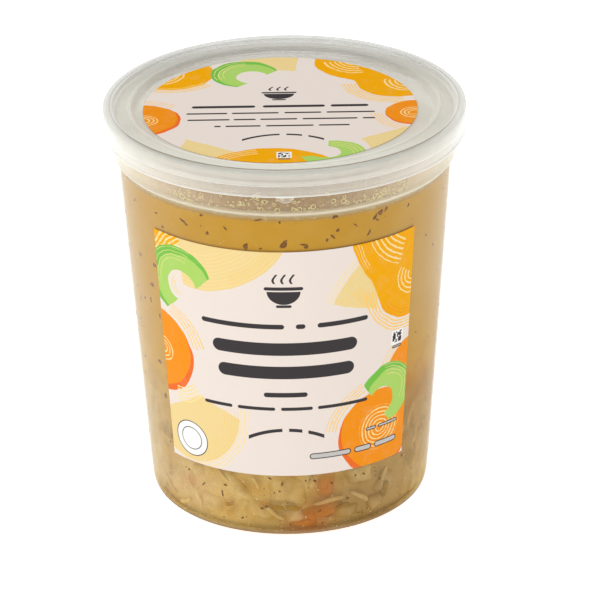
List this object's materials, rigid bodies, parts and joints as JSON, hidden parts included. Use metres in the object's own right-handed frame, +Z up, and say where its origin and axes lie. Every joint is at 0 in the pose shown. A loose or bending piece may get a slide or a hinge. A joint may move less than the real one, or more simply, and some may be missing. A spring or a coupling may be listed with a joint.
{
  "type": "tub of chicken noodle soup",
  "caption": "Round see-through plastic tub with a push-on lid, filled with chicken noodle soup, with a printed label on its wall and another on its lid.",
  "frame": {"origin": "centre of the tub's foot, on the surface that it stands on", "axes": "+Z up along the tub's axis, -Y towards the front, where the wall label is, +X to the right as seen from the front"},
  "size_m": [0.118, 0.118, 0.1362],
  "materials": {
    "tub_plastic": "clear moulded polypropylene, faintly milky, smooth and glossy",
    "lid_plastic": "translucent moulded polypropylene, milky white, satin with glossy edges",
    "soup": "cloudy golden broth with noodles, chicken, carrot, celery and herbs in it",
    "label_paper": "coated printed paper, satin"
  },
  "bodies": {
    "root": {"tub": "tub_plastic", "soup": "soup", "lid": "lid_plastic", "wall_label": "label_paper", "lid_label": "label_paper"}
  },
  "joints": []
}
